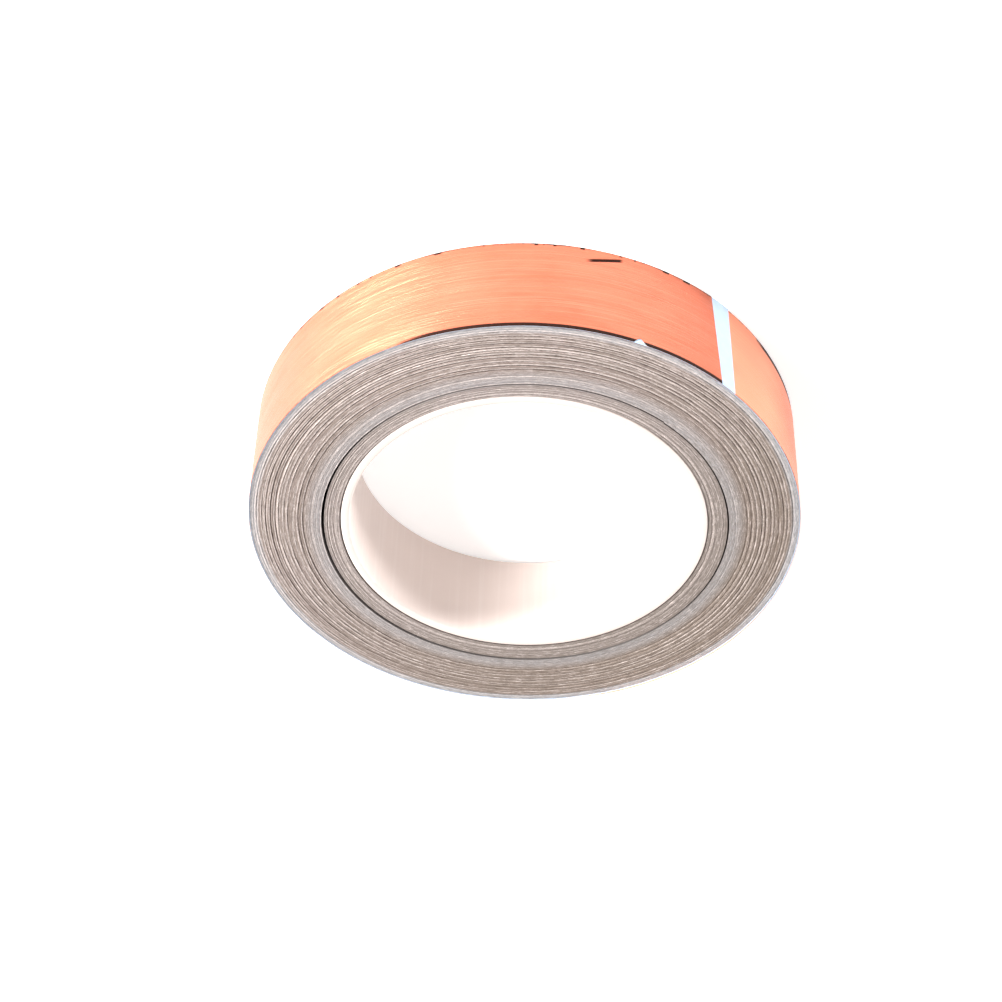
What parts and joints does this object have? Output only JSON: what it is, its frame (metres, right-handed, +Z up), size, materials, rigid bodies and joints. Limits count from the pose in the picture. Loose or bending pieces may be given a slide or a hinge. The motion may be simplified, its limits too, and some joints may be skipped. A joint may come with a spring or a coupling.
{
  "type": "copper foil tape roll",
  "caption": "Roll of self-adhesive copper foil tape with a paper liner on a white plastic core, with a free end that lifts and peels",
  "frame": {"origin": "centre of the roll's bottom face, on the axis of the core", "axes": "+Z up along the axis of the core, with the roll lying flat; -Y towards the side that has the tape's cut end, which is at 230 degrees from +X towards +Y"},
  "size_m": [0.1198, 0.1199, 0.025],
  "materials": {
    "core_plastic": "smooth satin white plastic",
    "start_tape": "thin translucent double-sided tape",
    "wound_edges": "slit edges of wound foil, adhesive and paper liner, pinkish grey with fine rings",
    "copper_foil": "bright soft copper foil with faint lengthwise rolling lines",
    "adhesive": "clear acrylic adhesive, slightly glossy",
    "paper_liner": "smooth silicone-coated bluish white release paper"
  },
  "bodies": {
    "roll": {"core_tube": "core_plastic", "start_tape": "start_tape", "inner_winding": "wound_edges", "main_winding": "wound_edges", "last_turn_foil": "copper_foil", "last_turn_adhesive": "adhesive", "last_turn_liner": "paper_liner"},
    "tape_end_1": {"tail_foil_1": "copper_foil", "tail_adhesive_1": "adhesive"},
    "tape_end_2": {"tail_foil_2": "copper_foil", "tail_adhesive_2": "adhesive"},
    "tape_end_3": {"tail_foil_3": "copper_foil", "tail_adhesive_3": "adhesive"},
    "tape_end_4": {"tail_foil_4": "copper_foil", "tail_adhesive_4": "adhesive"},
    "liner_end_1": {"tail_liner_1": "paper_liner"},
    "liner_end_2": {"tail_liner_2": "paper_liner"},
    "liner_end_3": {"tail_liner_3": "paper_liner"},
    "liner_end_4": {"tail_liner_4": "paper_liner"},
    "liner_tab_end": {"liner_tab": "paper_liner"}
  },
  "joints": [
    {"name": "tail_lift", "type": "hinge", "parent": "roll", "child": "tape_end_1", "pos_m": [-0.0084, -0.05952, 0.0125], "axis": [0, 0, 1], "range_deg": [0, 25]},
    {"name": "tail_lift_2", "type": "hinge", "parent": "tape_end_1", "child": "tape_end_2", "pos_m": [-0.0166, -0.05777, 0.0125], "axis": [0, 0, 1], "range_deg": [0, 25]},
    {"name": "tail_lift_3", "type": "hinge", "parent": "tape_end_2", "child": "tape_end_3", "pos_m": [-0.02448, -0.05491, 0.0125], "axis": [0, 0, 1], "range_deg": [0, 25]},
    {"name": "tail_lift_4", "type": "hinge", "parent": "tape_end_3", "child": "tape_end_4", "pos_m": [-0.03188, -0.05097, 0.0125], "axis": [0, 0, 1], "range_deg": [0, 25]},
    {"name": "liner_peel_1", "type": "hinge", "parent": "roll", "child": "liner_end_1", "pos_m": [-0.00838, -0.05938, 0.0125], "axis": [0, 0, 1], "range_deg": [0, 10]},
    {"name": "liner_peel_2", "type": "hinge", "parent": "liner_end_1", "child": "liner_end_2", "pos_m": [-0.01656, -0.05764, 0.0125], "axis": [0, 0, 1], "range_deg": [0, 10]},
    {"name": "liner_peel_3", "type": "hinge", "parent": "liner_end_2", "child": "liner_end_3", "pos_m": [-0.02442, -0.05478, 0.0125], "axis": [0, 0, 1], "range_deg": [0, 10]},
    {"name": "liner_peel_4", "type": "hinge", "parent": "liner_end_3", "child": "liner_end_4", "pos_m": [-0.03181, -0.05085, 0.0125], "axis": [0, 0, 1], "range_deg": [0, 10]},
    {"name": "liner_tab_fold", "type": "hinge", "parent": "liner_end_4", "child": "liner_tab_end", "pos_m": [-0.03961, -0.04505, 0.0125], "axis": [0, 0, 1], "range_deg": [0, 80]}
  ],
  "couplings": [
    {"joint": "tail_lift_2", "follows": "tail_lift", "ratio": 1},
    {"joint": "tail_lift_3", "follows": "tail_lift", "ratio": 1},
    {"joint": "tail_lift_4", "follows": "tail_lift", "ratio": 1},
    {"joint": "liner_peel_1", "follows": "tail_lift", "ratio": 0.4},
    {"joint": "liner_peel_2", "follows": "tail_lift", "ratio": 0.4},
    {"joint": "liner_peel_3", "follows": "tail_lift", "ratio": 0.4},
    {"joint": "liner_peel_4", "follows": "tail_lift", "ratio": 0.4}
  ]
}
